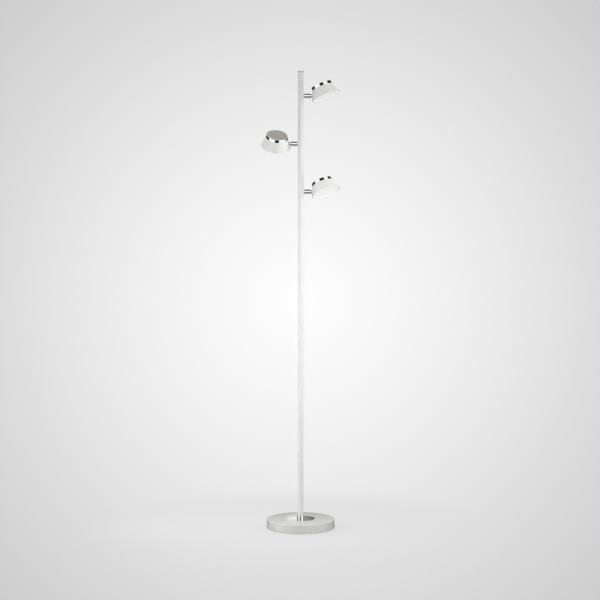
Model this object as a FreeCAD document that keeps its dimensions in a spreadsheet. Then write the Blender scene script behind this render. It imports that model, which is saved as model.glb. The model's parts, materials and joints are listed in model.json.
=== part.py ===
import FreeCAD, Part
import Sketcher
import os
import re

# Tree floor lamp: round weighted base, slim pole and three short arms, each with a conical light head.
# Millimetres, +Z up. The origin is on the pole's axis, at the floor.

doc = FreeCAD.newDocument("tree_floor_lamp")
sheet = doc.addObject("Spreadsheet::Sheet", "Sizes")

SIZES = {
    # whole lamp
    "total_height": 1600.0,
    "slip_gap": 0.1,
    "running_gap": 0.05,
    "free_gap": 0.3,
    # base
    "base_diameter": 236.0,
    "base_height": 31.0,
    "base_edge_radius": 2.5,
    "cover_thickness": 2.0,
    "foot_pad_inset": 8.0,
    "foot_pad_thickness": 1.0,
    "plate_thickness": 1.5,
    "weight_inset": 16.0,
    "inlay_diameter": 99.0,
    "inlay_chamfer": 0.3,
    "collar_diameter": 25.5,
    "collar_height": 12.0,
    "collar_chamfer": 1.0,
    "base_screw_circle": 150.0,
    "base_screw_diameter": 4.0,
    "base_screw_length": 9.0,
    "base_screw_sink": 1.1,
    # pole and its fixing in the base
    "pole_diameter": 18.5,
    "pole_wall": 1.2,
    "pole_socket_depth": 10.0,
    "top_cap_overhang": 1.0,
    "top_cap_height": 4.0,
    "top_cap_edge": 1.0,
    "cap_plug_length": 12.0,
    "stud_diameter": 10.0,
    "stud_plug_length": 24.0,
    "nut_flats": 17.0,
    "nut_height": 7.0,
    "nut_flange_height": 1.5,
    "nut_flange_step": 2.0,
    "wire_diameter": 5.0,
    # driver and cord gland
    "driver_length": 90.0,
    "driver_width": 34.0,
    "driver_height": 18.0,
    "driver_inset": 63.0,
    "driver_edge": 2.0,
    "gland_bore": 6.6,
    "gland_wall": 1.4,
    "gland_flange_step": 2.0,
    "gland_flange_height": 1.6,
    "gland_length": 9.0,
    "gland_height": 15.0,
    # arms
    "upper_arm_drop": 87.0,
    "arm_spacing": 168.0,
    "arm_diameter": 15.5,
    "boss_diameter": 15.0,
    "boss_length": 2.0,
    "washer_thickness": 0.5,
    "spigot_diameter": 10.0,
    "spigot_bore": 6.0,
    "spigot_length": 16.0,
    "spigot_start": 4.5,
    "groove_depth": 1.0,
    "groove_key_angle": 18.0,
    "grub_diameter": 3.0,
    "grub_sink": 0.7,
    "grub_key_flats": 1.5,
    "grub_end_gap": 2.5,
    "sleeve_end_radius": 4.5,
    "sleeve_gap": 2.4,
    "pivot_reach": 49.5,
    "ball_diameter": 16.0,
    "neck_diameter": 8.0,
    "neck_bore": 4.0,
    "shank_length": 7.0,
    "pin_diameter": 3.0,
    # heads
    "rim_diameter": 104.0,
    "cone_angle": 22.0,
    "cone_height": 33.8,
    "shade_wall": 1.8,
    "flange_width": 7.0,
    "entry_hole_diameter": 16.6,
    "pivot_depth": 8.5,
    "band_height": 10.6,
    "band_wall": 1.6,
    "band_taper": 1.1,
    "band_edge_radius": 0.8,
    "top_disc_lip": 1.4,
    "top_disc_thickness": 1.2,
    "top_disc_sink": 0.3,
    "bezel_thickness": 1.2,
    "bezel_width": 3.4,
    "diffuser_thickness": 2.2,
    "socket_wall": 1.5,
    "socket_half_length": 5.0,
    "socket_lift": 0.75,
    "strap_width": 12.0,
    "strap_depth": 8.0,
    "sink_plate_thickness": 3.5,
    "fin_height": 7.5,
    "fin_thickness": 2.0,
    "fin_inner_radius": 7.0,
    "fin_gap": 0.55,
    "board_gap": 2.3,
    "board_thickness": 1.6,
    "chip_size": 3.0,
    "chip_height": 0.8,
    "chip_ring_inset": 2.25,
    "screw_diameter": 3.0,
    "screw_length": 6.0,
    "screw_head_diameter": 5.5,
    "screw_head_height": 2.0,
    "screw_key_flats": 2.0,
    "board_screw_inset": 4.0,
    # how the heads stand: swivel about the arm, and the light's lean away from the pole
    "lower_swivel_angle": -13.5,
    "lower_lean_angle": 19.0,
    "middle_swivel_angle": -36.0,
    "middle_lean_angle": 7.6,
    "upper_swivel_angle": -1.0,
    "upper_lean_angle": 21.0,
}
FIN_COUNT = 12
CHIP_COUNT = 12
BASE_SCREW_COUNT = 4
SAME_PLACE = 0.001

for row, (alias, number) in enumerate(SIZES.items(), start=1):
    sheet.set("A%d" % row, alias)
    sheet.set("B%d" % row, str(number))
    sheet.setAlias("B%d" % row, alias)
doc.recompute()


def bind(formula):
    # a formula is written with the sheet's names, each of which has an underscore
    return re.sub(r"\b([a-z]+(?:_[a-z]+)+)\b", r"Sizes.\1", formula)


def value(formula):
    return float(sheet.evalExpression(bind(formula)))


def bound(item, **formulas):
    for name, formula in formulas.items():
        item.setExpression(name.replace("__", "."), bind(formula))
    return item


def turned(axis, angle):
    return FreeCAD.Rotation(FreeCAD.Vector(*axis), angle)


UPRIGHT = FreeCAD.Rotation()
ALONG_X = turned((0, 1, 0), 90)
ALONG_Y = turned((1, 0, 0), -90)
nodes = {}


def keep(item, label, placement=None):
    item.Label = label
    if placement is not None:
        item.Placement = placement
    nodes[label] = item
    return item


# Solids from plain shapes

def placed(item, at, turn):
    item.Placement = FreeCAD.Placement(FreeCAD.Vector(0, 0, 0), turn)
    for letter, formula in zip("xyz", at):
        if formula != "0":
            item.setExpression("Placement.Base." + letter, bind(formula))
    return item


def cylinder(name, radius, height, at=("0", "0", "0"), turn=UPRIGHT, sweep=None):
    item = bound(doc.addObject("Part::Cylinder", name), Radius=radius, Height=height)
    if sweep:
        bound(item, Angle=sweep)
    return placed(item, at, turn)


def cone(name, low_radius, high_radius, height, at=("0", "0", "0"), turn=UPRIGHT):
    item = bound(doc.addObject("Part::Cone", name), Radius1=low_radius, Radius2=high_radius, Height=height)
    return placed(item, at, turn)


def hexagon(name, flats, height, at=("0", "0", "0"), turn=UPRIGHT):
    item = doc.addObject("Part::Prism", name)
    item.Polygon = 6
    bound(item, Circumradius="(%s) / 2 / cos(30)" % flats, Height=height)
    return placed(item, at, turn)


def block(name, length, width, height, at, turn=UPRIGHT):
    item = bound(doc.addObject("Part::Box", name), Length=length, Width=width, Height=height)
    return placed(item, at, turn)


def fuse(name, *items):
    item = doc.addObject("Part::MultiFuse", name)
    item.Shapes = list(items)
    item.Refine = True
    return item


def cut(name, base, *tools):
    item = doc.addObject("Part::Cut", name)
    item.Base = base
    item.Tool = tools[0] if len(tools) == 1 else fuse(name + "_tools", *tools)
    return item


def group(name, items):
    item = doc.addObject("Part::Compound", name)
    item.Links = list(items)
    return item


# Solids from sketches

def origin_plane(body, role):
    return [f for f in body.Origin.OriginFeatures if f.Role == role][0]


def new_body(name):
    return doc.addObject("PartDesign::Body", name)


def new_sketch(body, name, role):
    sketch = body.newObject("Sketcher::SketchObject", name)
    sketch.AttachmentSupport = [(origin_plane(body, role), "")]
    sketch.MapMode = "FlatFace"
    return sketch


def fix_point(sketch, geometry, end, across, up, tag):
    # each corner is tied to the sheet by its distances from the sketch's axes
    if across == "0":
        sketch.addConstraint(Sketcher.Constraint("PointOnObject", geometry, end, -2))
    else:
        sketch.addConstraint(Sketcher.Constraint("DistanceX", -1, 1, geometry, end, value(across)))
        sketch.renameConstraint(sketch.ConstraintCount - 1, "across_" + tag)
        sketch.setExpression("Constraints.across_" + tag, bind(across))
    if up == "0":
        sketch.addConstraint(Sketcher.Constraint("PointOnObject", geometry, end, -1))
    else:
        sketch.addConstraint(Sketcher.Constraint("DistanceY", -1, 1, geometry, end, value(up)))
        sketch.renameConstraint(sketch.ConstraintCount - 1, "up_" + tag)
        sketch.setExpression("Constraints.up_" + tag, bind(up))


def draw_outline(sketch, corners):
    points = [FreeCAD.Vector(value(across), value(up), 0) for across, up in corners]
    first = sketch.GeometryCount
    for index, point in enumerate(points):
        sketch.addGeometry(Part.LineSegment(point, points[(index + 1) % len(points)]), False)
    for index in range(len(points)):
        following = first + (index + 1) % len(points)
        sketch.addConstraint(Sketcher.Constraint("Coincident", first + index, 2, following, 1))
    for index, (across, up) in enumerate(corners):
        fix_point(sketch, first + index, 1, across, up, "%d" % (first + index))


def draw_circle(sketch, radius, across="0", up="0"):
    centre = FreeCAD.Vector(value(across), value(up), 0)
    index = sketch.addGeometry(Part.Circle(centre, FreeCAD.Vector(0, 0, 1), value(radius)), False)
    sketch.addConstraint(Sketcher.Constraint("Radius", index, value(radius)))
    sketch.renameConstraint(sketch.ConstraintCount - 1, "radius_%d" % index)
    sketch.setExpression("Constraints.radius_%d" % index, bind(radius))
    fix_point(sketch, index, 3, across, up, "%d" % index)


def turn_profile(body, name, corners):
    # a closed outline of (radius, height) corners, turned about the body's Z axis
    sketch = new_sketch(body, name + "_profile", "XZ_Plane")
    draw_outline(sketch, corners)
    solid = body.newObject("PartDesign::Revolution", name + "_turned")
    solid.Profile = sketch
    solid.ReferenceAxis = (sketch, ["V_Axis"])
    solid.Angle = 360
    doc.recompute()
    return solid


def pad(body, name, height, circles):
    # circles are (radius, across, up); one inside another leaves a bore
    sketch = new_sketch(body, name + "_outline", "XY_Plane")
    for circle in circles:
        draw_circle(sketch, *circle)
    solid = bound(body.newObject("PartDesign::Pad", name + "_pad"), Length=height)
    solid.Profile = sketch
    doc.recompute()
    return solid


def pocket(body, name, role, depth, circles=(), corners=None, into_positive=True):
    # cuts from one of the body's origin planes; the volume tells which way the cut goes
    sketch = new_sketch(body, name + "_outline", role)
    for circle in circles:
        draw_circle(sketch, *circle)
    if corners:
        draw_outline(sketch, corners)
    before = body.Shape.Volume
    hollow = bound(body.newObject("PartDesign::Pocket", name), Length=depth)
    hollow.Profile = sketch
    normal = {"XY_Plane": 1, "XZ_Plane": -1, "YZ_Plane": 1}[role]
    hollow.Reversed = (normal > 0) == into_positive
    doc.recompute()
    if not body.Shape.Volume < before:
        raise RuntimeError(name + " cuts nothing")
    return hollow


def ring_edges(shape, radius, height):
    # the round edges of that radius about Z, at that height
    found = []
    for index, edge in enumerate(shape.Edges, start=1):
        box = edge.BoundBox
        flat = box.ZLength < SAME_PLACE and abs(box.ZMin - height) < SAME_PLACE
        if not flat or edge.Curve.TypeId != "Part::GeomCircle":
            continue
        if abs(edge.Curve.Radius - radius) < SAME_PLACE:
            found.append("Edge%d" % index)
    if not found:
        raise RuntimeError("no edge of radius %.3f at %.3f" % (radius, height))
    return found


def soften(body, name, size, spots, kind="Fillet"):
    # rounds or chamfers the ring edges at each (radius, height)
    tip = body.Tip
    edges = []
    for radius, height in spots:
        edges += ring_edges(tip.Shape, value(radius), value(height))
    feature = body.newObject("PartDesign::" + kind, name)
    feature.Base = (tip, edges)
    bound(feature, **{"Radius" if kind == "Fillet" else "Size": size})
    doc.recompute()
    return feature


# Places that several pieces share

base_radius = "(base_diameter / 2)"
cover_inner = "(base_diameter / 2 - cover_thickness)"
plate_top = "(foot_pad_thickness + plate_thickness)"
weight_top = "(base_height - cover_thickness)"
weight_radius = "(base_diameter / 2 - weight_inset)"
pole_radius = "(pole_diameter / 2)"
pole_bore = "(pole_diameter / 2 - pole_wall)"
pole_foot = "(base_height - cover_thickness - pole_socket_depth)"
pole_top = "(total_height - top_cap_height)"
nut_seat = "(foot_pad_thickness + plate_thickness + nut_height + free_gap)"
driver_room = "(driver_width / 2 + 2 * free_gap)"
driver_back = "(base_diameter / 2 - driver_inset)"

arm_heights = {
    "lower": "(total_height - upper_arm_drop - 2 * arm_spacing)",
    "middle": "(total_height - upper_arm_drop - arm_spacing)",
    "upper": "(total_height - upper_arm_drop)",
}
arm_sides = {"lower": 0, "middle": 180, "upper": 0}

boss_face = "(pole_diameter / 2 + boss_length)"
sleeve_start = "(pole_diameter / 2 + boss_length + washer_thickness + slip_gap)"
sleeve_end = "(pivot_reach - pivot_depth - sleeve_gap)"
spigot_end = "(pole_diameter / 2 + boss_length + spigot_length)"
grub_place = "(pole_diameter / 2 + boss_length + spigot_length - grub_end_gap - grub_diameter / 2)"
sleeve_step = "(pivot_reach - pivot_depth - sleeve_gap - shank_length)"

rim_radius = "(rim_diameter / 2)"
wall_across = "(shade_wall / cos(cone_angle))"
cone_top_radius = "(rim_diameter / 2 - cone_height * tan(cone_angle))"
socket_radius = "(ball_diameter / 2 + free_gap + socket_wall)"
diffuser_top = "(bezel_thickness + diffuser_thickness)"
pivot_up = ("(bezel_thickness + diffuser_thickness + socket_lift + socket_half_length * sin(cone_angle)"
            " + (ball_diameter / 2 + free_gap + socket_wall) * cos(cone_angle))")
entry_up = "(%s + pivot_depth * sin(cone_angle))" % pivot_up
pivot_in = "(rim_diameter / 2 - %s * tan(cone_angle) - pivot_depth * cos(cone_angle))" % entry_up
flange_inner = "(rim_diameter / 2 - cone_height * tan(cone_angle) - flange_width)"
strap_in = "(%s - free_gap - screw_head_diameter / 2)" % flange_inner
board_radius = "(%s - strap_depth / 2 - board_gap)" % strap_in
board_screw_ring = "(%s - board_screw_inset)" % board_radius
chip_ring = "(%s - screw_head_diameter / 2 - chip_ring_inset)" % board_screw_ring
fin_reach = "(%s - screw_head_diameter / 2 - fin_gap)" % strap_in
sink_top = "(cone_height - shade_wall)"
sink_low = "(cone_height - shade_wall - sink_plate_thickness)"
head_top = "(cone_height + band_height)"


# Base

def make_base_cover():
    body = new_body("base_cover_body")
    hole = "(inlay_diameter / 2 + slip_gap)"
    turn_profile(body, "base_cover", [
        (cover_inner, "foot_pad_thickness"),
        (base_radius, "foot_pad_thickness"),
        (base_radius, "base_height"),
        (hole, "base_height"),
        (hole, weight_top),
        (cover_inner, weight_top),
    ])
    soften(body, "base_cover_edge", "base_edge_radius", [(base_radius, "base_height")])
    pocket(body, "gland_hole", "XZ_Plane", base_radius,
           circles=[("gland_bore / 2 + gland_wall + slip_gap", "0", "gland_height")])
    keep(body, "base_cover")


def make_base_weight():
    body = new_body("base_weight_body")
    nut_room = "(nut_flats / 2 / cos(30) + nut_flange_step + 2 * free_gap)"
    stud_hole = "(stud_diameter / 2 + slip_gap)"
    socket = "(pole_diameter / 2 + slip_gap)"
    turn_profile(body, "base_weight", [
        (nut_room, plate_top),
        (weight_radius, plate_top),
        (weight_radius, weight_top),
        (socket, weight_top),
        (socket, pole_foot),
        (stud_hole, pole_foot),
        (stud_hole, nut_seat),
        (nut_room, nut_seat),
    ])
    half = "(driver_length / 2 + 2 * free_gap)"
    pocket(body, "driver_room", "XY_Plane", plate_top + " + driver_height + free_gap", corners=[
        ("-" + half, "%s - %s" % (driver_back, driver_room)),
        (half, "%s - %s" % (driver_back, driver_room)),
        (half, "%s + %s" % (driver_back, driver_room)),
        ("-" + half, "%s + %s" % (driver_back, driver_room)),
    ])
    channel = "(wire_diameter / 2 + 2 * free_gap)"
    pocket(body, "wire_channel", "XY_Plane", plate_top + " + wire_diameter + 2 * free_gap", corners=[
        ("-" + channel, "stud_diameter"),
        (channel, "stud_diameter"),
        (channel, driver_back),
        ("-" + channel, driver_back),
    ])
    groove = "(gland_bore / 2 + 2 * free_gap)"
    pocket(body, "cord_channel", "XY_Plane", "gland_height + " + groove, corners=[
        ("-" + groove, driver_back),
        (groove, driver_back),
        (groove, base_radius),
        ("-" + groove, base_radius),
    ])
    quarter = "(base_screw_circle / 2 * cos(45))"
    spots = [(a + quarter, b + quarter) for a, b in (("", ""), ("-", ""), ("", "-"), ("-", "-"))]
    pocket(body, "weight_screw_holes", "XY_Plane", plate_top + " + base_screw_length",
           circles=[("base_screw_diameter / 2 + slip_gap", across, up) for across, up in spots])
    keep(body, "base_weight")


def make_bottom_plate():
    body = new_body("bottom_plate_body")
    pad(body, "bottom_plate", "plate_thickness", [(cover_inner + " - slip_gap",)])
    sketch = new_sketch(body, "screw_hole_outline", "XY_Plane")
    quarter = "(base_screw_circle / 2 * cos(45))"
    hole_radius = "base_screw_diameter / 2 + slip_gap"
    draw_circle(sketch, hole_radius, quarter, quarter)
    hole = bound(body.newObject("PartDesign::Pocket", "screw_hole"), Length="plate_thickness")
    hole.Profile = sketch
    hole.Reversed = True
    doc.recompute()
    around = body.newObject("PartDesign::PolarPattern", "screw_hole_pattern")
    around.Originals = [hole]
    around.Axis = (sketch, ["N_Axis"])
    around.Angle = 360
    around.Occurrences = BASE_SCREW_COUNT
    body.Tip = around
    doc.recompute()
    soften(body, "screw_hole_sink", "base_screw_sink", [(hole_radius, "0")], "Chamfer")
    keep(body, "bottom_plate")
    body.setExpression("Placement.Base.z", bind("foot_pad_thickness"))


def make_base_screws():
    screws = []
    for index in range(BASE_SCREW_COUNT):
        angle = 45 + 360 / BASE_SCREW_COUNT * index
        at = ("base_screw_circle / 2 * cos(%g)" % angle, "base_screw_circle / 2 * sin(%g)" % angle)
        shank = cylinder("base_screw_shank_%d" % index, "base_screw_diameter / 2",
                         "plate_thickness + base_screw_length - free_gap", at + ("foot_pad_thickness",))
        head = cone("base_screw_head_%d" % index, "base_screw_diameter / 2 + base_screw_sink",
                    "base_screw_diameter / 2", "base_screw_sink", at + ("foot_pad_thickness",))
        screws.append(fuse("base_screw_%d" % index, shank, head))
    keep(group("base_screw_group", screws), "base_screws")


def make_foot_pad():
    body = new_body("foot_pad_body")
    radius = "(base_diameter / 2 - foot_pad_inset)"
    pad(body, "foot_pad", "foot_pad_thickness", [(radius,)])
    soften(body, "foot_pad_edge", "foot_pad_thickness / 4", [(radius, "foot_pad_thickness")], "Chamfer")
    keep(body, "foot_pad")


def make_inlay_plate():
    body = new_body("inlay_plate_body")
    bore = "pole_diameter / 2 + slip_gap"
    radius = "inlay_diameter / 2"
    turn_profile(body, "inlay_plate", [
        (bore, weight_top), (radius, weight_top), (radius, "base_height"), (bore, "base_height")])
    soften(body, "inlay_edge", "inlay_chamfer", [(radius, "base_height")], "Chamfer")
    keep(body, "inlay_plate")


def make_collar():
    body = new_body("collar_body")
    bore = "pole_diameter / 2 + slip_gap"
    radius = "collar_diameter / 2"
    top = "base_height + collar_height"
    turn_profile(body, "collar", [
        (bore, "base_height"), (radius, "base_height"), (radius, top), (bore, top)])
    soften(body, "collar_edge", "collar_chamfer", [(radius, top)], "Chamfer")
    keep(body, "collar")


# Pole

def make_pole():
    body = new_body("pole_body")
    turn_profile(body, "pole", [
        (pole_bore, pole_foot), (pole_radius, pole_foot), (pole_radius, pole_top), (pole_bore, pole_top)])
    hole = "spigot_diameter / 2 + slip_gap"
    for which, height in arm_heights.items():
        pocket(body, which + "_arm_hole", "YZ_Plane", "pole_diameter", circles=[(hole, "0", height)],
               into_positive=arm_sides[which] == 0)
    keep(body, "pole")


def make_pole_cap():
    body = new_body("pole_cap_body")
    rim = "pole_diameter / 2 + top_cap_overhang"
    plug = pole_bore + " - slip_gap"
    turn_profile(body, "pole_cap", [
        ("0", pole_top + " - cap_plug_length"),
        (plug, pole_top + " - cap_plug_length"),
        (plug, pole_top),
        (rim, pole_top),
        (rim, "total_height"),
        ("0", "total_height"),
    ])
    soften(body, "pole_cap_edge", "top_cap_edge", [(rim, "total_height")])
    keep(body, "pole_cap")


def make_pole_stud():
    body = new_body("pole_stud_body")
    bore = "wire_diameter / 2 + slip_gap"
    plug = pole_bore + " - slip_gap"
    low = plate_top + " + free_gap"
    turn_profile(body, "pole_stud", [
        (bore, low),
        ("stud_diameter / 2", low),
        ("stud_diameter / 2", pole_foot),
        (plug, pole_foot),
        (plug, pole_foot + " + stud_plug_length"),
        (bore, pole_foot + " + stud_plug_length"),
    ])
    keep(body, "pole_stud")


def make_pole_nut():
    body_height = "nut_height - nut_flange_height"
    low = plate_top + " + free_gap"
    hexed = hexagon("nut_hex", "nut_flats", body_height, ("0", "0", low))
    flange = cylinder("nut_flange", "nut_flats / 2 / cos(30) + nut_flange_step", "nut_flange_height",
                      ("0", "0", low + " + " + body_height))
    bore = cylinder("nut_bore", "stud_diameter / 2 + running_gap", "nut_height", ("0", "0", low))
    keep(cut("pole_nut_cut", fuse("nut_blank", hexed, flange), bore), "pole_nut")


def make_supply_wire():
    low = plate_top + " + free_gap"
    wire = cylinder("supply_wire_core", "wire_diameter / 2", arm_heights["upper"] + " - (" + low + ")",
                    ("0", "0", low))
    keep(wire, "supply_wire")


# Driver and cord gland

def make_driver_case():
    case = block("driver_block", "driver_length", "driver_width", "driver_height",
                 ("-driver_length / 2", driver_back + " - driver_width / 2", plate_top))
    doc.recompute()
    top = case.Shape.BoundBox.ZMax
    rounded = doc.addObject("Part::Fillet", "driver_rounded")
    rounded.Base = case
    edges = []
    for index, edge in enumerate(case.Shape.Edges, start=1):
        upright = edge.BoundBox.ZLength > SAME_PLACE
        if upright or edge.BoundBox.ZMin > top - SAME_PLACE:
            edges.append((index, value("driver_edge"), value("driver_edge")))
    rounded.Edges = edges
    keep(rounded, "driver_case")


def make_cable_gland():
    body = new_body("cable_gland_body")
    bore = "gland_bore / 2"
    sleeve = "(gland_bore / 2 + gland_wall)"
    flange = "(gland_bore / 2 + gland_wall + gland_flange_step)"
    turn_profile(body, "cable_gland", [
        (bore, "-gland_length"),
        (sleeve, "-gland_length"),
        (sleeve, "0"),
        (flange, "0"),
        (flange, "gland_flange_height"),
        (bore, "gland_flange_height"),
    ])
    soften(body, "gland_edge", "gland_flange_height / 3", [(flange, "gland_flange_height")])
    place = FreeCAD.Placement(FreeCAD.Vector(0, value(base_radius), value("gland_height")), ALONG_Y)
    keep(body, "cable_gland", place)


# Arms. Their own frame has Z along the arm, away from the pole, and X down.

def arm_frame(which):
    swivel = value(which + "_swivel_angle")
    turn = turned((0, 0, 1), arm_sides[which]) * turned((1, 0, 0), swivel)
    return FreeCAD.Placement(FreeCAD.Vector(0, 0, value(arm_heights[which])), turn)


def fixed_arm_place(which):
    return FreeCAD.Placement(FreeCAD.Vector(0, 0, value(arm_heights[which])),
                             turned((0, 0, 1), arm_sides[which]) * ALONG_X)


def moving_arm_place(which):
    return arm_frame(which) * FreeCAD.Placement(FreeCAD.Vector(0, 0, 0), ALONG_X)


def make_spigot(which):
    shaft = cylinder(which + "_shaft", "spigot_diameter / 2", spigot_end + " - spigot_start",
                     ("0", "0", "spigot_start"))
    boss = cylinder(which + "_boss", "boss_diameter / 2", boss_face)
    saddle_length = "2 * boss_diameter"
    saddle = cylinder(which + "_saddle", pole_radius, saddle_length, ("-boss_diameter", "0", "0"), ALONG_X)
    outer = cut(which + "_boss_outside", boss, saddle)
    bore = cylinder(which + "_spigot_bore", "spigot_bore / 2", spigot_end)
    low = grub_place + " - grub_diameter / 2 - running_gap"
    width = "grub_diameter + 2 * running_gap"
    key_turn = turned((0, 0, 1), 180 + value("groove_key_angle") / 2)
    ring = cylinder(which + "_groove_ring", "spigot_diameter", width, ("0", "0", low), key_turn,
                    "360 - groove_key_angle")
    core = cylinder(which + "_groove_core", "spigot_diameter / 2 - groove_depth", width, ("0", "0", low))
    groove = cut(which + "_groove", ring, core)
    return cut(which + "_spigot", fuse(which + "_spigot_blank", shaft, outer), bore, groove)


def make_arm_spigots():
    spigots = []
    washers = []
    for which in arm_heights:
        spigot = make_spigot(which)
        spigot.Placement = fixed_arm_place(which)
        spigots.append(spigot)
        seat = ("0", "0", boss_face)
        disc = cylinder(which + "_washer_disc", "boss_diameter / 2", "washer_thickness", seat)
        eye = cylinder(which + "_washer_eye", "spigot_diameter / 2 + slip_gap", "washer_thickness", seat)
        washer = cut(which + "_washer", disc, eye)
        washer.Placement = fixed_arm_place(which)
        washers.append(washer)
    keep(group("arm_spigot_group", spigots), "arm_spigots")
    keep(group("friction_washer_group", washers), "friction_washers")


def make_arm_sleeve(which):
    body = new_body(which + "_sleeve_body")
    outside = "(arm_diameter / 2)"
    wide = "(spigot_diameter / 2 + running_gap)"
    narrow = "(neck_diameter / 2 + running_gap)"
    turn_profile(body, which + "_sleeve", [
        (wide, sleeve_start),
        (outside, sleeve_start),
        (outside, sleeve_end),
        (narrow, sleeve_end),
        (narrow, sleeve_step),
        (wide, sleeve_step),
    ])
    end_radius = "min(sleeve_end_radius; arm_diameter / 2 - neck_diameter / 2 - free_gap)"
    soften(body, which + "_sleeve_round", end_radius, [(outside, sleeve_end)])
    soften(body, which + "_sleeve_break", "free_gap", [(outside, sleeve_start)], "Chamfer")
    pocket(body, which + "_grub_hole", "YZ_Plane", "arm_diameter",
           circles=[("grub_diameter / 2 + running_gap", "0", grub_place)])
    keep(body, which + "_arm_sleeve", moving_arm_place(which))


def make_ball_stud(which):
    ball = bound(doc.addObject("Part::Sphere", which + "_ball"), Radius="ball_diameter / 2")
    placed(ball, ("0", "0", "pivot_reach"), UPRIGHT)
    shank = cylinder(which + "_shank", "neck_diameter / 2", "pivot_reach - " + sleeve_step + " - free_gap",
                     ("0", "0", sleeve_step + " + free_gap"))
    bore = cylinder(which + "_ball_bore", "neck_bore / 2", "pivot_reach", ("0", "0", sleeve_step))
    cross = cylinder(which + "_ball_cross", "pin_diameter / 2 + running_gap / 5", "2 * ball_diameter",
                     ("0", "-ball_diameter", "pivot_reach"), ALONG_Y)
    stud = cut(which + "_ball_stud_cut", fuse(which + "_ball_blank", ball, shank), bore, cross)
    keep(stud, which + "_ball_stud", moving_arm_place(which))


def make_cross_pin(which):
    body = new_body(which + "_pin_body")
    pad(body, which + "_pin", "2 * " + socket_radius, [("pin_diameter / 2",)])
    ends = [("pin_diameter / 2", "0"), ("pin_diameter / 2", "2 * " + socket_radius)]
    soften(body, which + "_pin_ends", "pin_diameter / 10", ends, "Chamfer")
    across = FreeCAD.Placement(FreeCAD.Vector(0, -value(socket_radius), value("pivot_reach")), ALONG_Y)
    keep(body, which + "_cross_pin", moving_arm_place(which) * across)


def make_grub_screw(which):
    tip = "spigot_diameter / 2 - groove_depth + free_gap"
    head = "arm_diameter / 2 - grub_sink"
    barrel = cylinder(which + "_grub_barrel", "grub_diameter / 2", "%s - (%s)" % (head, tip),
                      (tip, "0", grub_place), ALONG_X)
    key = hexagon(which + "_grub_key", "grub_key_flats", "grub_sink + groove_depth",
                  ("%s - groove_depth" % head, "0", grub_place), ALONG_X)
    keep(cut(which + "_grub_cut", barrel, key), which + "_grub_screw", moving_arm_place(which))


# Heads. Their own frame has its origin in the middle of the rim, Z up to the top disc, X from the pole.

def head_place(which):
    pivot = FreeCAD.Vector(value("pivot_reach"), 0, 0)
    own = FreeCAD.Vector(-value(pivot_in), 0, value(pivot_up))
    lean = turned((0, 1, 0), -value(which + "_lean_angle"))
    return arm_frame(which) * FreeCAD.Placement(pivot - lean.multVec(own), lean)


def square_to_wall(along="0"):
    # a place on the arm's line when the wall is square to the arm; along is counted away from the pole
    across = "-%s + (%s) * cos(cone_angle)" % (pivot_in, along)
    up = "%s - (%s) * sin(cone_angle)" % (pivot_up, along)
    return across, "0", up


def wall_turn():
    return turned((0, 1, 0), 90 + value("cone_angle"))


def make_shade(which):
    body = new_body(which + "_shade_body")
    turn_profile(body, which + "_shade", [
        (rim_radius + " - " + wall_across, "0"),
        (rim_radius, "0"),
        (cone_top_radius, "cone_height"),
        (flange_inner, "cone_height"),
        (flange_inner, sink_top),
        ("%s - %s * tan(cone_angle) - %s" % (rim_radius, sink_top, wall_across), sink_top),
    ])
    soften(body, which + "_rim_edge", "shade_wall / 4", [(rim_radius, "0")])
    entry = cylinder(which + "_entry", "entry_hole_diameter / 2", "pivot_depth + entry_hole_diameter / 2",
                     square_to_wall("-pivot_depth - entry_hole_diameter / 2"), wall_turn())
    keep(cut(which + "_shade_cut", body, entry), which + "_shade", head_place(which))


def make_cap_ring(which):
    body = new_body(which + "_ring_body")
    low = cone_top_radius
    high = "(%s - band_taper)" % cone_top_radius
    seat = head_top + " - top_disc_sink - top_disc_thickness"
    turn_profile(body, which + "_ring", [
        (low + " - band_wall", "cone_height"),
        (low, "cone_height"),
        (high, head_top),
        (high + " - top_disc_lip", head_top),
        (high + " - top_disc_lip", seat),
        (high + " - band_wall - 2 * top_disc_lip", seat),
        (high + " - band_wall - 2 * top_disc_lip", seat + " - band_wall"),
        (high + " - band_wall", seat + " - band_wall"),
    ])
    soften(body, which + "_ring_edge", "band_edge_radius", [(high, head_top)])
    keep(body, which + "_cap_ring", head_place(which))


def make_cap_disc(which):
    body = new_body(which + "_disc_body")
    radius = "%s - band_taper - top_disc_lip - slip_gap" % cone_top_radius
    top = head_top + " - top_disc_sink"
    low = top + " - top_disc_thickness"
    turn_profile(body, which + "_disc", [("0", low), (radius, low), (radius, top), ("0", top)])
    soften(body, which + "_disc_edge", "top_disc_thickness / 4", [(radius, top)])
    keep(body, which + "_cap_disc", head_place(which))


def strap_spots():
    return [("-" + strap_in, sign + "strap_width / 4") for sign in ("", "-")]


def board_spots():
    return [("%s * cos(%d)" % (board_screw_ring, angle), "%s * sin(%d)" % (board_screw_ring, angle))
            for angle in (30, 150, 270)]


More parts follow.
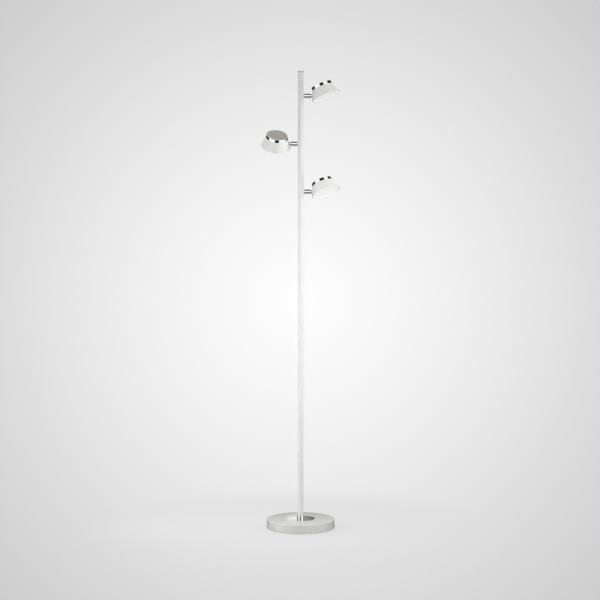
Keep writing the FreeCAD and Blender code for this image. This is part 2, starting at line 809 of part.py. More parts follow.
def make_heat_sink(which):
    body = new_body(which + "_sink_body")
    plate_radius = "(%s - flange_width / 2)" % cone_top_radius
    turn_profile(body, which + "_sink", [
        ("0", sink_low),
        (plate_radius, sink_low),
        (plate_radius, sink_top),
        ("fin_inner_radius", sink_top),
        ("fin_inner_radius", sink_top + " + fin_height"),
        ("0", sink_top + " + fin_height"),
    ])
    fin = new_sketch(body, which + "_fin_outline", "XY_Plane")
    draw_outline(fin, [
        ("fin_inner_radius / 2", "-fin_thickness / 2"),
        (fin_reach, "-fin_thickness / 2"),
        (fin_reach, "fin_thickness / 2"),
        ("fin_inner_radius / 2", "fin_thickness / 2"),
    ])
    fin.setExpression("AttachmentOffset.Base.z", bind(sink_low))
    fin_pad = body.newObject("PartDesign::Pad", which + "_fin")
    bound(fin_pad, Length="sink_plate_thickness + fin_height")
    fin_pad.Profile = fin
    doc.recompute()
    around = body.newObject("PartDesign::PolarPattern", which + "_fins")
    around.Originals = [fin_pad]
    around.Axis = (fin, ["N_Axis"])
    around.Angle = 360
    around.Occurrences = FIN_COUNT
    body.Tip = around
    doc.recompute()
    spots = strap_spots() + board_spots()
    pocket(body, which + "_sink_holes", "XY_Plane", sink_top,
           circles=[("screw_diameter / 2 + slip_gap", across, up) for across, up in spots])
    keep(body, which + "_heat_sink", head_place(which))


def make_led_board(which):
    body = new_body(which + "_board_body")
    circles = [(board_radius,)]
    circles += [("screw_diameter / 2 + slip_gap", across, up) for across, up in board_spots()]
    pad(body, which + "_board", "board_thickness", circles)
    lift = FreeCAD.Placement(FreeCAD.Vector(0, 0, value(sink_low + " - board_thickness")), UPRIGHT)
    keep(body, which + "_led_board", head_place(which) * lift)


def make_led_chips(which):
    chips = []
    for index in range(CHIP_COUNT):
        angle = 360 / CHIP_COUNT * index
        near = "(%s - chip_size / 2)" % chip_ring
        across = "%s * cos(%g) + chip_size / 2 * sin(%g)" % (near, angle, angle)
        aside = "%s * sin(%g) - chip_size / 2 * cos(%g)" % (near, angle, angle)
        at = (across, aside, sink_low + " - board_thickness - chip_height")
        turn = turned((0, 0, 1), angle)
        chips.append(block(which + "_chip_%d" % index, "chip_size", "chip_size", "chip_height", at, turn))
    keep(group(which + "_chip_group", chips), which + "_led_chips", head_place(which))


def make_diffuser(which):
    body = new_body(which + "_diffuser_body")
    low_radius = "%s - bezel_thickness * tan(cone_angle) - %s - slip_gap" % (rim_radius, wall_across)
    high_radius = "%s - %s * tan(cone_angle) - %s - slip_gap" % (rim_radius, diffuser_top, wall_across)
    turn_profile(body, which + "_diffuser", [
        ("0", "bezel_thickness"),
        (low_radius, "bezel_thickness"),
        (high_radius, diffuser_top),
        ("0", diffuser_top),
    ])
    keep(body, which + "_diffuser", head_place(which))


def make_bezel_ring(which):
    body = new_body(which + "_bezel_body")
    low = "%s - %s - slip_gap" % (rim_radius, wall_across)
    high = "%s - bezel_thickness * tan(cone_angle) - %s - slip_gap" % (rim_radius, wall_across)
    inner = "%s - %s - slip_gap - bezel_width" % (rim_radius, wall_across)
    turn_profile(body, which + "_bezel", [
        (inner, "0"), (low, "0"), (high, "bezel_thickness"), (inner, "bezel_thickness")])
    keep(body, which + "_bezel_ring", head_place(which))


def make_socket(which):
    mouth = square_to_wall("-socket_half_length")
    cup = cylinder(which + "_cup", socket_radius, "2 * socket_half_length", mouth, wall_turn())
    strap = block(which + "_strap", "strap_depth", "strap_width", "%s - %s" % (sink_low, pivot_up),
                  ("-%s - strap_depth / 2" % strap_in, "-strap_width / 2", pivot_up))
    room = cylinder(which + "_cup_room", "ball_diameter / 2 + free_gap", "4 * socket_half_length",
                    square_to_wall("-2 * socket_half_length"), wall_turn())
    cross = cylinder(which + "_cup_cross", "pin_diameter / 2 + running_gap", "4 * " + socket_radius,
                     ("-" + pivot_in, "-2 * " + socket_radius, pivot_up), ALONG_Y)
    taps = [cylinder(which + "_tap_%d" % index, "screw_diameter / 2 + running_gap", "screw_length",
                     (across, up, sink_top + " - screw_length"))
            for index, (across, up) in enumerate(strap_spots())]
    socket = cut(which + "_socket_cut", fuse(which + "_socket_blank", cup, strap), room, cross, *taps)
    keep(socket, which + "_socket", head_place(which))


def make_head_screws(which):
    screws = []
    tops = [(spot, sink_top, 1) for spot in strap_spots()]
    lows = [(spot, sink_low + " - board_thickness", -1) for spot in board_spots()]
    for index, ((across, up), seat, way) in enumerate(tops + lows):
        tag = which + "_screw_%d" % index
        if way > 0:
            shank_low = seat + " - screw_length + free_gap"
            head_low = seat
            key_low = "%s + screw_head_height / 2" % seat
            length = "screw_length - free_gap"
        else:
            shank_low = seat
            head_low = seat + " - screw_head_height"
            key_low = head_low
            length = "board_thickness + sink_plate_thickness - free_gap"
        shank = cylinder(tag + "_shank", "screw_diameter / 2", length, (across, up, shank_low))
        head_radius = "screw_head_diameter / 2"
        head = cylinder(tag + "_head", head_radius, "screw_head_height", (across, up, head_low))
        key = hexagon(tag + "_key", "screw_key_flats", "screw_head_height / 2", (across, up, key_low))
        screws.append(cut(tag, fuse(tag + "_blank", shank, head), key))
    keep(group(which + "_screw_group", screws), which + "_head_screws", head_place(which))


make_base_cover()
make_base_weight()
make_bottom_plate()
make_base_screws()
make_foot_pad()
make_inlay_plate()
make_collar()
make_pole()
make_pole_cap()
make_pole_stud()
make_pole_nut()
make_supply_wire()
make_driver_case()
make_cable_gland()
make_arm_spigots()
for which in arm_heights:
    make_arm_sleeve(which)
    make_ball_stud(which)
    make_cross_pin(which)
    make_grub_screw(which)
    make_shade(which)
    make_cap_ring(which)
    make_cap_disc(which)
    make_heat_sink(which)
    make_led_board(which)
    make_led_chips(which)
    make_diffuser(which)
    make_bezel_ring(which)
    make_socket(which)
    make_head_screws(which)
doc.recompute()

for item in doc.Objects:
    if "Invalid" in item.State or "Error" in item.State:
        raise RuntimeError("%s: %s" % (item.Name, item.State))
for label, item in nodes.items():
    if item.Shape.isNull() or not item.Shape.isValid():
        raise RuntimeError(label + " has no valid shape")

os.makedirs("parts", exist_ok=True)
for label, item in nodes.items():
    item.Shape.exportStep("parts/%s.step" % label)

for which in arm_heights:
    frame = arm_frame(which)
    pivot = frame.multVec(FreeCAD.Vector(value("pivot_reach"), 0, 0))
    pin = frame.Rotation.multVec(FreeCAD.Vector(0, -1, 0))
    print("%s pivot (%.3f, %.3f, %.3f) pin (%.5f, %.5f, %.5f)" % (which, *pivot, *pin))
print("%d nodes" % len(nodes))
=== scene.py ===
import json
import math
import bmesh
import bpy
from mathutils import Matrix, Vector


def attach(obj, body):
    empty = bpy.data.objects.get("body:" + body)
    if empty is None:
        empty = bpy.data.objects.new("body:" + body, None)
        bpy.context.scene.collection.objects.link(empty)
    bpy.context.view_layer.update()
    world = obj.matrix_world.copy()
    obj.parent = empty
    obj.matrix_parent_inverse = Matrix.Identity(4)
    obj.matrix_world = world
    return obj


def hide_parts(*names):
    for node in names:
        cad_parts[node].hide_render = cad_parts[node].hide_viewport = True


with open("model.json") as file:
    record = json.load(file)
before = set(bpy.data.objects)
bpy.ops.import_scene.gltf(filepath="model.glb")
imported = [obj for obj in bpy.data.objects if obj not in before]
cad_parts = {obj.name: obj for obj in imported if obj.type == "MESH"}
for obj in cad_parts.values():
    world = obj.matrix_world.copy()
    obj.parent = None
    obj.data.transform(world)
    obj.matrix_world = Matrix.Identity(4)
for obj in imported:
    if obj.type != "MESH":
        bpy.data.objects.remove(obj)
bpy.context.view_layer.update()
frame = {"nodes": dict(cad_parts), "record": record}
scene = bpy.context.scene
print("frame loaded with", len(frame["nodes"]), "nodes")

# Pieces are drawn in millimetres and scaled once at the end. Finishes and the stage are in metres
fullTurn = 2 * math.pi
toMetres = Matrix.Scale(0.001, 4)
toMillimetres = Matrix.Scale(1000, 4)
upright = Matrix.Identity(4)
alongX = Matrix.Rotation(math.radians(90), 4, "Y")
alongY = Matrix.Rotation(math.radians(-90), 4, "X")

# The three arms: height on the pole, side, and how far each is swivelled and its head leaned
arms = {
    "lower": dict(height=1177.0, side=0.0, swivel=-13.5, lean=19.0),
    "middle": dict(height=1345.0, side=180.0, swivel=-36.0, lean=7.6),
    "upper": dict(height=1513.0, side=0.0, swivel=-1.0, lean=21.0),
}

# The ball's centre on the arm and in the head, and how deep it lies behind the shade's outside
pivot = dict(reach=49.5, inward=36.7277, up=15.1095, depth=8.5)


def armPlace(which):
    arm = arms[which]
    place = Matrix.Translation((0, 0, arm["height"]))
    place @= Matrix.Rotation(math.radians(arm["side"]), 4, "Z")
    return place @ Matrix.Rotation(math.radians(arm["swivel"]), 4, "X")


def headPlace(which):
    # a head's own frame: origin in the middle of the rim, Z up to the top disc, X away from the pole
    lean = Matrix.Rotation(math.radians(-arms[which]["lean"]), 4, "Y")
    ball = Matrix.Translation((pivot["reach"], 0, 0))
    return armPlace(which) @ ball @ lean @ Matrix.Translation((pivot["inward"], 0, -pivot["up"]))


# Node helpers

def feed(tree, node, inputs):
    for name, value in inputs.items():
        if isinstance(value, bpy.types.NodeSocket):
            tree.links.new(value, node.inputs[name])
        else:
            node.inputs[name].default_value = value


def addNode(tree, kind, inputs=None, **settings):
    node = tree.nodes.new("ShaderNode" + kind)
    for name, value in settings.items():
        setattr(node, name, value)
    feed(tree, node, inputs or {})
    return node


def useGroup(tree, group, inputs):
    node = tree.nodes.new("ShaderNodeGroup")
    node.node_tree = group
    feed(tree, node, inputs)
    return node.outputs


def newGroup(name, inputs, outputs):
    group = bpy.data.node_groups.new(name, "ShaderNodeTree")
    for label, kind, default in inputs:
        socket = group.interface.new_socket(label, in_out="INPUT", socket_type="NodeSocket" + kind)
        if default is not None:
            socket.default_value = default
    for label, kind in outputs:
        group.interface.new_socket(label, in_out="OUTPUT", socket_type="NodeSocket" + kind)
    return group, group.nodes.new("NodeGroupInput").outputs, group.nodes.new("NodeGroupOutput").inputs


def calc(tree, operation, first, second=0.0):
    return addNode(tree, "Math", {0: first, 1: second}, operation=operation).outputs[0]


def blend(tree, factor, first, second):
    return addNode(tree, "Mix", {"Factor": factor, "A": first, "B": second}).outputs["Result"]


def ramp(tree, value, low, high, start=0.0, end=1.0, smooth=True):
    kind = "SMOOTHSTEP" if smooth else "LINEAR"
    inputs = {"Value": value, "From Min": low, "From Max": high, "To Min": start, "To Max": end}
    return addNode(tree, "MapRange", inputs, interpolation_type=kind).outputs[0]


def profile(tree, value, rows, smooth=False):
    # passes through each (value, level) of the rows and stays level outside them
    level = rows[0][1]
    for (low, start), (high, end) in zip(rows, rows[1:]):
        if start != end:
            level = calc(tree, "ADD", ramp(tree, value, low, high, 0.0, end - start, smooth), level)
    return level


def window(tree, value, low, high, soft):
    return calc(tree, "MULTIPLY", ramp(tree, value, low - soft, low + soft),
                ramp(tree, value, high - soft, high + soft, 1.0, 0.0))


def fromAxis(tree, vector):
    # distance from the vector's own Z axis
    flat = addNode(tree, "VectorMath", {0: vector, 1: (1, 1, 0)}, operation="MULTIPLY").outputs[0]
    return addNode(tree, "VectorMath", {0: flat}, operation="LENGTH").outputs["Value"]


# Shared effects: slow colour and gloss changes, fine relief, and lathe lines
toneMix = dict(detail=4.0, speckDetail=3.0, speckFiner=6.3, speckShare=0.5, middle=0.75, gain=4.0)
reliefMix = dict(detail=2.0, waveBroader=0.08, waveDetail=1.0)
latheMix = dict(detail=3.0)


def makeToneGroup():
    group, given, result = newGroup("surfaceTone", [
        ("Vector", "Vector", None), ("Colour", "Color", (0.8, 0.8, 0.8, 1)), ("Tone", "Float", 0.03),
        ("Scale", "Float", 12.0), ("Roughness", "Float", 0.4), ("Swing", "Float", 0.05),
    ], [("Colour", "Color"), ("Roughness", "Float")])
    spot = given["Vector"]
    cloud = addNode(group, "TexNoise", {"Vector": spot, "Scale": given["Scale"], "Detail": toneMix["detail"]})
    fine = calc(group, "MULTIPLY", given["Scale"], toneMix["speckFiner"])
    speck = addNode(group, "TexNoise", {"Vector": spot, "Scale": fine, "Detail": toneMix["speckDetail"]})
    share = calc(group, "MULTIPLY", speck.outputs["Fac"], toneMix["speckShare"])
    shift = calc(group, "SUBTRACT", calc(group, "ADD", cloud.outputs["Fac"], share), toneMix["middle"])
    change = calc(group, "MULTIPLY", shift, calc(group, "MULTIPLY", given["Tone"], toneMix["gain"]))
    level = calc(group, "ADD", change, 1.0)
    tinted = addNode(group, "VectorMath", {0: given["Colour"], "Scale": level}, operation="SCALE")
    gloss = calc(group, "ADD", given["Roughness"], calc(group, "MULTIPLY", shift, given["Swing"]))
    group.links.new(tinted.outputs[0], result["Colour"])
    group.links.new(gloss, result["Roughness"])
    return group


def makeReliefGroup():
    group, given, result = newGroup("fineRelief", [
        ("Vector", "Vector", None), ("Scale", "Float", 600.0), ("Waviness", "Float", 0.3),
    ], [("Height", "Float")])
    spot = given["Vector"]
    fine = given["Scale"]
    broad = calc(group, "MULTIPLY", fine, reliefMix["waveBroader"])
    grain = addNode(group, "TexNoise", {"Vector": spot, "Scale": fine, "Detail": reliefMix["detail"]})
    wave = addNode(group, "TexNoise", {"Vector": spot, "Scale": broad, "Detail": reliefMix["waveDetail"]})
    waves = calc(group, "MULTIPLY", wave.outputs["Fac"], given["Waviness"])
    group.links.new(calc(group, "ADD", grain.outputs["Fac"], waves), result["Height"])
    return group


def makeLatheGroup():
    # lines that a lathe or a polishing wheel leaves, one value per place along the cut
    group, given, result = newGroup("latheLines", [
        ("Along", "Float", 0.0), ("Pitch", "Float", 0.0004),
    ], [("Height", "Float")])
    turns = calc(group, "DIVIDE", given["Along"], given["Pitch"])
    lines = addNode(group, "TexNoise", {"W": turns, "Scale": 1.0, "Detail": latheMix["detail"]},
                    noise_dimensions="1D")
    group.links.new(lines.outputs["Fac"], result["Height"])
    return group


toneGroup = makeToneGroup()
reliefGroup = makeReliefGroup()
latheGroup = makeLatheGroup()

# One row of values for each finish of the record. A row leaves out what is as in plain
plain = dict(metallic=0.0, coat=0.0, coatRough=0.12, specular=0.5, glow=0.0, waviness=0.5)
finishes = {
    # base_paint, pole_paint and shade_paint are one white paint: the base's copy is darker, painted shade,
    # and the shades' copy is lighter, painted light
    "base_paint": dict(
        colour=(0.76, 0.77, 0.74), tone=0.03, scale=16, rough=0.36, swing=0.08, relief=0.00004, grain=700,
        coat=0.9, coatRough=0.13, specular=0.05),
    "pole_paint": dict(
        colour=(0.795, 0.80, 0.78), tone=0.02, scale=20, rough=0.34, swing=0.08, relief=0.00003, grain=900,
        coat=0.25),
    "shade_paint": dict(
        colour=(0.835, 0.843, 0.815), tone=0.018, scale=30, rough=0.36, swing=0.08, relief=0.00003, grain=900,
        coat=0.2),
    "bright_chrome": dict(
        colour=(0.88, 0.88, 0.885), tone=0.01, scale=60, rough=0.07, swing=0.05, relief=0.000004, grain=300,
        metallic=1.0),
    "satin_top": dict(
        colour=(0.455, 0.432, 0.402), tone=0.03, scale=60, rough=0.36, swing=0.08, relief=0.00001, grain=1200,
        metallic=1.0),
    "casting": dict(
        colour=(0.05, 0.05, 0.052), tone=0.09, scale=40, rough=0.75, swing=0.2, relief=0.0004, grain=260,
        metallic=0.4),
    "plated_steel": dict(
        colour=(0.60, 0.60, 0.61), tone=0.04, scale=90, rough=0.32, swing=0.12, relief=0.00003, grain=900,
        metallic=1.0),
    "pad_rubber": dict(
        colour=(0.022, 0.022, 0.023), tone=0.06, scale=50, rough=0.82, swing=0.1, relief=0.0002, grain=500),
    "gland_rubber": dict(
        colour=(0.62, 0.62, 0.61), tone=0.03, scale=90, rough=0.6, swing=0.1, relief=0.0001, grain=800),
    "driver_plastic": dict(
        colour=(0.72, 0.72, 0.70), tone=0.02, scale=40, rough=0.5, swing=0.1, relief=0.0001, grain=900),
    "wire_sheath": dict(
        colour=(0.72, 0.72, 0.70), tone=0.02, scale=40, rough=0.45, swing=0.1, relief=0.00005, grain=400),
    "nylon": dict(
        colour=(0.78, 0.78, 0.74), tone=0.02, scale=60, rough=0.45, swing=0.05, relief=0.00003, grain=900),
    "sink_aluminium": dict(
        colour=(0.62, 0.62, 0.63), tone=0.04, scale=60, rough=0.45, swing=0.1, relief=0.0001, grain=700,
        metallic=1.0),
    "board_white": dict(
        colour=(0.82, 0.82, 0.80), tone=0.01, scale=60, rough=0.35, swing=0.05, relief=0.00002, grain=900),
    "phosphor": dict(
        colour=(0.80, 0.58, 0.12), tone=0.03, scale=400, rough=0.3, swing=0.05, relief=0.00002, grain=3000),
    "opal": dict(
        colour=(0.90, 0.90, 0.895), tone=0.008, scale=25, rough=0.42, swing=0.04, relief=0.00002, grain=1400,
        glow=0.285),
    # the bezel's glow is painted light: the ring is no lamp, and the glow lifts its shaded rim to the
    # diffuser's brightness
    "bezel_plastic": dict(
        colour=(0.88, 0.88, 0.87), tone=0.012, scale=60, rough=0.34, swing=0.05, relief=0.00002, grain=1200,
        glow=0.25),
    "socket_zinc": dict(
        colour=(0.50, 0.50, 0.51), tone=0.06, scale=90, rough=0.5, swing=0.15, relief=0.0001, grain=600,
        metallic=1.0),
}


def startFinish(name, own):
    values = {**plain, **own}
    material = bpy.data.materials.new(name)
    material.use_nodes = True
    tree = material.node_tree
    shader = tree.nodes["Principled BSDF"]
    spot = addNode(tree, "TexCoord").outputs["Object"]
    tone = useGroup(tree, toneGroup, {
        "Vector": spot, "Colour": (*values["colour"], 1), "Tone": values["tone"], "Scale": values["scale"],
        "Roughness": values["rough"], "Swing": values["swing"]})
    relief = useGroup(tree, reliefGroup, {
        "Vector": spot, "Scale": values["grain"], "Waviness": values["waviness"]})
    bump = addNode(tree, "Bump", {"Height": relief["Height"], "Distance": values["relief"], "Strength": 1.0})
    feed(tree, shader, {
        "Base Color": tone["Colour"], "Roughness": tone["Roughness"], "Normal": bump.outputs["Normal"],
        "Metallic": values["metallic"], "Coat Weight": values["coat"], "Coat Roughness": values["coatRough"],
        "Specular IOR Level": values["specular"]})
    if values["glow"]:
        feed(tree, shader, {"Emission Color": tone["Colour"], "Emission Strength": values["glow"]})
    return material, tree, shader, spot, bump


def addLathe(tree, shader, bump, along, turning):
    lines = useGroup(tree, latheGroup, {"Along": along, "Pitch": turning["pitch"]})
    cut = addNode(tree, "Bump", {"Height": lines["Height"], "Distance": turning["depth"],
                                 "Normal": bump.outputs["Normal"]})
    tree.links.new(cut.outputs["Normal"], shader.inputs["Normal"])


slotFinish = {name: startFinish(name, values)[0] for name, values in finishes.items()}

# Finishes of single pieces: what differs from the slot's row, and the pitch and depth of their lathe lines
sleeveTurning = dict(rough=0.05, pitch=0.00045, depth=0.000001)
discTurning = dict(pitch=0.0005, depth=0.00003)
inlayTurning = dict(rough=0.10, pitch=0.0006, depth=0.000006)
capBrushing = dict(colour=(0.67, 0.67, 0.67), rough=0.3)   # duller than the rest of the bright metal


def makeTurnedChrome():
    # the sleeves are turned round the arm, which runs along X
    values = dict(finishes["bright_chrome"], rough=sleeveTurning["rough"])
    material, tree, shader, spot, bump = startFinish("turned_chrome", values)
    along = addNode(tree, "SeparateXYZ", {0: spot}).outputs["X"]
    addLathe(tree, shader, bump, along, sleeveTurning)
    return material


def makeSatinTop(which):
    # rings round the head's own middle
    material, tree, shader, spot, bump = startFinish(which + "_satin_top", finishes["satin_top"])
    place = toMetres @ headPlace(which) @ toMillimetres
    own = addNode(tree, "Mapping", {"Vector": spot, "Location": place.to_translation(),
                                    "Rotation": place.to_euler()}, vector_type="TEXTURE")
    addLathe(tree, shader, bump, fromAxis(tree, own.outputs[0]), discTurning)
    return material


def makeInlayChrome():
    # rings round the pole
    values = dict(finishes["bright_chrome"], rough=inlayTurning["rough"])
    material, tree, shader, spot, bump = startFinish("inlay_chrome", values)
    addLathe(tree, shader, bump, fromAxis(tree, spot), inlayTurning)
    return material


turnedChrome = makeTurnedChrome()
inlayChrome = makeInlayChrome()
capChrome = startFinish("cap_chrome", dict(finishes["bright_chrome"], **capBrushing))[0]
satinTops = {which: makeSatinTop(which) for which in arms}
print("finishes ready")


# Mesh helpers
meshing = dict(merge=0.0005, samePlace=0.001, bevelSegments=4)


def ringEdges(bm, corners):
    # the edges of the rings that a spin makes of the given corners
    found = []
    for edge in bm.edges:
        ends = [(math.hypot(vert.co.x, vert.co.y), vert.co.z) for vert in edge.verts]
        for radius, height, _ in corners:
            if all(max(abs(r - radius), abs(z - height)) < meshing["samePlace"] for r, z in ends):
                found.append(edge)
    return found


def turnOutline(corners, steps):
    # a closed outline of (radius, height, bevel) is spun round Z, then its rings are bevelled
    bm = bmesh.new()
    points = [bm.verts.new((corner[0], 0, corner[1])) for corner in corners]
    edges = []
    for first, second in zip(points, points[1:] + points[:1]):
        if first.co.x > 0 or second.co.x > 0:
            edges.append(bm.edges.new((first, second)))
    bmesh.ops.spin(bm, geom=points + edges, cent=(0, 0, 0), axis=(0, 0, 1), angle=fullTurn, steps=steps,
                   use_merge=True, use_duplicate=False)
    bmesh.ops.remove_doubles(bm, verts=bm.verts, dist=meshing["merge"])
    bmesh.ops.recalc_face_normals(bm, faces=bm.faces)
    bevelled = [corner for corner in corners if len(corner) > 2]
    for size in sorted({corner[2] for corner in bevelled}):
        rings = ringEdges(bm, [corner for corner in bevelled if corner[2] == size])
        bmesh.ops.bevel(bm, geom=rings, offset=size, offset_type="OFFSET", segments=meshing["bevelSegments"],
                        profile=0.5, affect="EDGES", clamp_overlap=True, material=-1)
    return bm


def looseObject(bm):
    mesh = bpy.data.meshes.new("loose")
    bm.to_mesh(mesh)
    bm.free()
    item = bpy.data.objects.new("loose", mesh)
    scene.collection.objects.link(item)
    return item


def cutHole(bm, tool, place):
    # moves the tool to its place, takes it out of the mesh and clears the slivers that the cut leaves
    bmesh.ops.transform(tool, matrix=place, verts=tool.verts)
    body = looseObject(bm)
    cutter = looseObject(tool)
    knife = body.modifiers.new("hole", "BOOLEAN")
    knife.operation = "DIFFERENCE"
    knife.object = cutter
    knife.solver = "EXACT"
    view = bpy.context.evaluated_depsgraph_get()
    mesh = bpy.data.meshes.new_from_object(body.evaluated_get(view))
    result = bmesh.new()
    result.from_mesh(mesh)
    bpy.data.meshes.remove(mesh)
    for item in (body, cutter):
        bpy.data.meshes.remove(item.data)
    bmesh.ops.remove_doubles(result, verts=result.verts, dist=meshing["merge"])
    bmesh.ops.dissolve_degenerate(result, edges=result.edges, dist=meshing["merge"])
    return result


def finishPiece(name, bm, place, slot, body, replaced, material=None, sharp=38):
    # a piece takes its slot's finish unless it has one of its own
    bmesh.ops.transform(bm, matrix=toMetres @ place, verts=bm.verts)
    mesh = bpy.data.meshes.new(name)
    bm.to_mesh(mesh)
    bm.free()
    mesh.materials.append(material or slotFinish[slot])
    for face in mesh.polygons:
        face.use_smooth = True
        face.material_index = 0
    mesh.set_sharp_from_angle(angle=math.radians(sharp))
    piece = bpy.data.objects.new(name, mesh)
    scene.collection.objects.link(piece)
    even = piece.modifiers.new("evenNormals", "WEIGHTED_NORMAL")
    even.keep_sharp = True
    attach(piece, body)
    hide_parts(*replaced)
    return piece


# Base: painted cover, open below, with a hole in its back for the cord gland
cover = dict(radius=118.0, height=31.0, wall=2.0, underside=1.0, inlayHole=49.6, topEdge=2.5, rimEdge=0.6,
             innerEdge=0.25, holeEdge=0.3, steps=192)
gland = dict(height=15.0, bore=3.3, sleeve=4.7, length=9.0, flange=6.7, lip=1.6, step=0.88, crown=0.6,
             boreEdge=0.3, sleeveEdge=0.4, seatEdge=0.15, lipEdge=0.4, mouthEdge=0.5, steps=64,
             holeFit=0.1, holeFrom=105.0, holeTo=125.0)


def makeBaseCover():
    inner = cover["radius"] - cover["wall"]
    ceiling = cover["height"] - cover["wall"]
    bm = turnOutline([
        (inner, cover["underside"], cover["innerEdge"]),
        (cover["radius"], cover["underside"], cover["rimEdge"]),
        (cover["radius"], cover["height"], cover["topEdge"]),
        (cover["inlayHole"], cover["height"], cover["holeEdge"]),
        (cover["inlayHole"], ceiling),
        (inner, ceiling),
    ], cover["steps"])
    wide = gland["sleeve"] + gland["holeFit"]
    hole = turnOutline([
        (0, gland["holeFrom"]), (wide, gland["holeFrom"]), (wide, gland["holeTo"]), (0, gland["holeTo"]),
    ], gland["steps"])
    bm = cutHole(bm, hole, Matrix.Translation((0, 0, gland["height"])) @ alongY)
    finishPiece("baseCover", bm, upright, "base_paint", "stand", ["base_cover"])


def makeGland():
    bm = turnOutline([
        (gland["bore"], -gland["length"], gland["boreEdge"]),
        (gland["sleeve"], -gland["length"], gland["sleeveEdge"]),
        (gland["sleeve"], 0),
        (gland["flange"], 0, gland["seatEdge"]),
        (gland["flange"], gland["step"], gland["lipEdge"]),
        (gland["sleeve"] + gland["crown"], gland["lip"], gland["lipEdge"]),
        (gland["bore"], gland["lip"], gland["mouthEdge"]),
    ], gland["steps"])
    back = Matrix.Translation((0, cover["radius"], gland["height"])) @ alongY
    finishPiece("cordGland", bm, back, "gland_rubber", "stand", ["cable_gland"])


# Bright plate let into the cover's top
inlay = dict(bore=9.35, radius=49.5, chamfer=0.3, steps=128)


def makeInlay():
    top = cover["height"]
    low = top - cover["wall"]
    bm = turnOutline([
        (inlay["bore"], low),
        (inlay["radius"], low),
        (inlay["radius"], top, inlay["chamfer"]),
        (inlay["bore"], top),
    ], inlay["steps"])
    finishPiece("inlayPlate", bm, upright, "bright_chrome", "stand", ["inlay_plate"], inlayChrome)


# Bright collar round the pole's foot
collar = dict(bore=9.35, radius=12.75, height=12.0, topEdge=1.0, lowEdge=0.3, boreEdge=0.2, steps=128)


def makeCollar():
    low = cover["height"]
    top = low + collar["height"]
    bm = turnOutline([
        (collar["bore"], low),
        (collar["radius"], low, collar["lowEdge"]),
        (collar["radius"], top, collar["topEdge"]),
        (collar["bore"], top, collar["boreEdge"]),
    ], collar["steps"])
    finishPiece("collarRing", bm, upright, "bright_chrome", "stand", ["collar"])


# Rubber pad with shallow moulded rings underneath
pad = dict(radius=110.0, height=1.0, topChamfer=0.25, lowEdge=0.2, margin=5.0, middle=12.0, pitch=8.0,
           groove=3.0, grooveDepth=0.4, steps=96)


def makeFootPad():
    top = pad["height"]
    chamfer = pad["topChamfer"]
    depth = pad["grooveDepth"]
    corners = [
        (0, top),
        (pad["radius"] - chamfer, top),
        (pad["radius"], top - chamfer),
        (pad["radius"], 0, pad["lowEdge"]),
    ]
    radius = pad["radius"] - pad["margin"]
    while radius > pad["middle"]:
        inner = radius - pad["groove"]
        corners += [(radius, 0), (radius - depth, depth), (inner + depth, depth), (inner, 0)]
        radius -= pad["pitch"]
    corners += [(0, 0)]
    bm = turnOutline(corners, pad["steps"])
    finishPiece("footPad", bm, upright, "pad_rubber", "stand", ["foot_pad"])


makeBaseCover()
makeInlay()
makeCollar()
makeFootPad()
makeGland()
print("base ready")

# Pole: one painted tube
pole = dict(radius=9.25, bore=8.05, foot=18.0, top=1596.0, footEdge=0.3, topEdge=0.25, steps=96)


def makePole():
    bm = turnOutline([
        (pole["bore"], pole["foot"]),
        (pole["radius"], pole["foot"], pole["footEdge"]),
        (pole["radius"], pole["top"], pole["topEdge"]),
        (pole["bore"], pole["top"]),
    ], pole["steps"])
    tube = finishPiece("poleTube", bm, upright, "pole_paint", "stand", ["pole"])
    tube.visible_glossy = False   # bright metal shows the studio in its place


# Small cap with a plug that fits the pole's bore
cap = dict(radius=10.25, height=4.0, edge=1.0, lowEdge=0.25, plug=12.0, plugFit=0.1, plugEdge=0.3, steps=96)


def makePoleCap():
    top = pole["top"] + cap["height"]
    low = pole["top"] - cap["plug"]
    plugRadius = pole["bore"] - cap["plugFit"]
    bm = turnOutline([
        (0, low),
        (plugRadius, low, cap["plugEdge"]),
        (plugRadius, pole["top"]),
        (cap["radius"], pole["top"], cap["lowEdge"]),
        (cap["radius"], top, cap["edge"]),
        (0, top),
    ], cap["steps"])
    finishPiece("poleCap", bm, upright, "bright_chrome", "stand", ["pole_cap"], capChrome)


makePole()
makePoleCap()
print("pole ready")

# Arms: turned sleeves with a fine groove near the pole and a hole for the grub screw
sleeve = dict(radius=7.75, start=11.85, end=38.6, wide=5.05, narrow=4.05, step=31.6, roundEnd=3.4,
              breakEdge=0.3, grooveAt=14.6, grooveDepth=0.25, grooveWidth=0.5, steps=96,
              grubAt=23.25, grubHole=1.55, grubReach=12.0, grubSteps=32)


def makeSleeve(which):
    groove = sleeve["grooveAt"]
    half = sleeve["grooveWidth"] / 2
    bm = turnOutline([
        (sleeve["wide"], sleeve["start"]),
        (sleeve["radius"], sleeve["start"], sleeve["breakEdge"]),
        (sleeve["radius"], groove - half),
        (sleeve["radius"] - sleeve["grooveDepth"], groove),
        (sleeve["radius"], groove + half),
        (sleeve["radius"], sleeve["end"], sleeve["roundEnd"]),
        (sleeve["narrow"], sleeve["end"]),
        (sleeve["narrow"], sleeve["step"]),
        (sleeve["wide"], sleeve["step"]),
    ], sleeve["steps"])
    wide = sleeve["grubHole"]
    hole = turnOutline([
        (0, 0), (wide, 0), (wide, sleeve["grubReach"]), (0, sleeve["grubReach"]),
    ], sleeve["grubSteps"])
    bm = cutHole(bm, hole, Matrix.Translation((0, 0, sleeve["grubAt"])) @ alongX)
    finishPiece(which + "Sleeve", bm, armPlace(which) @ alongX, "bright_chrome", which + "_arm",
                [which + "_arm_sleeve"], turnedChrome)


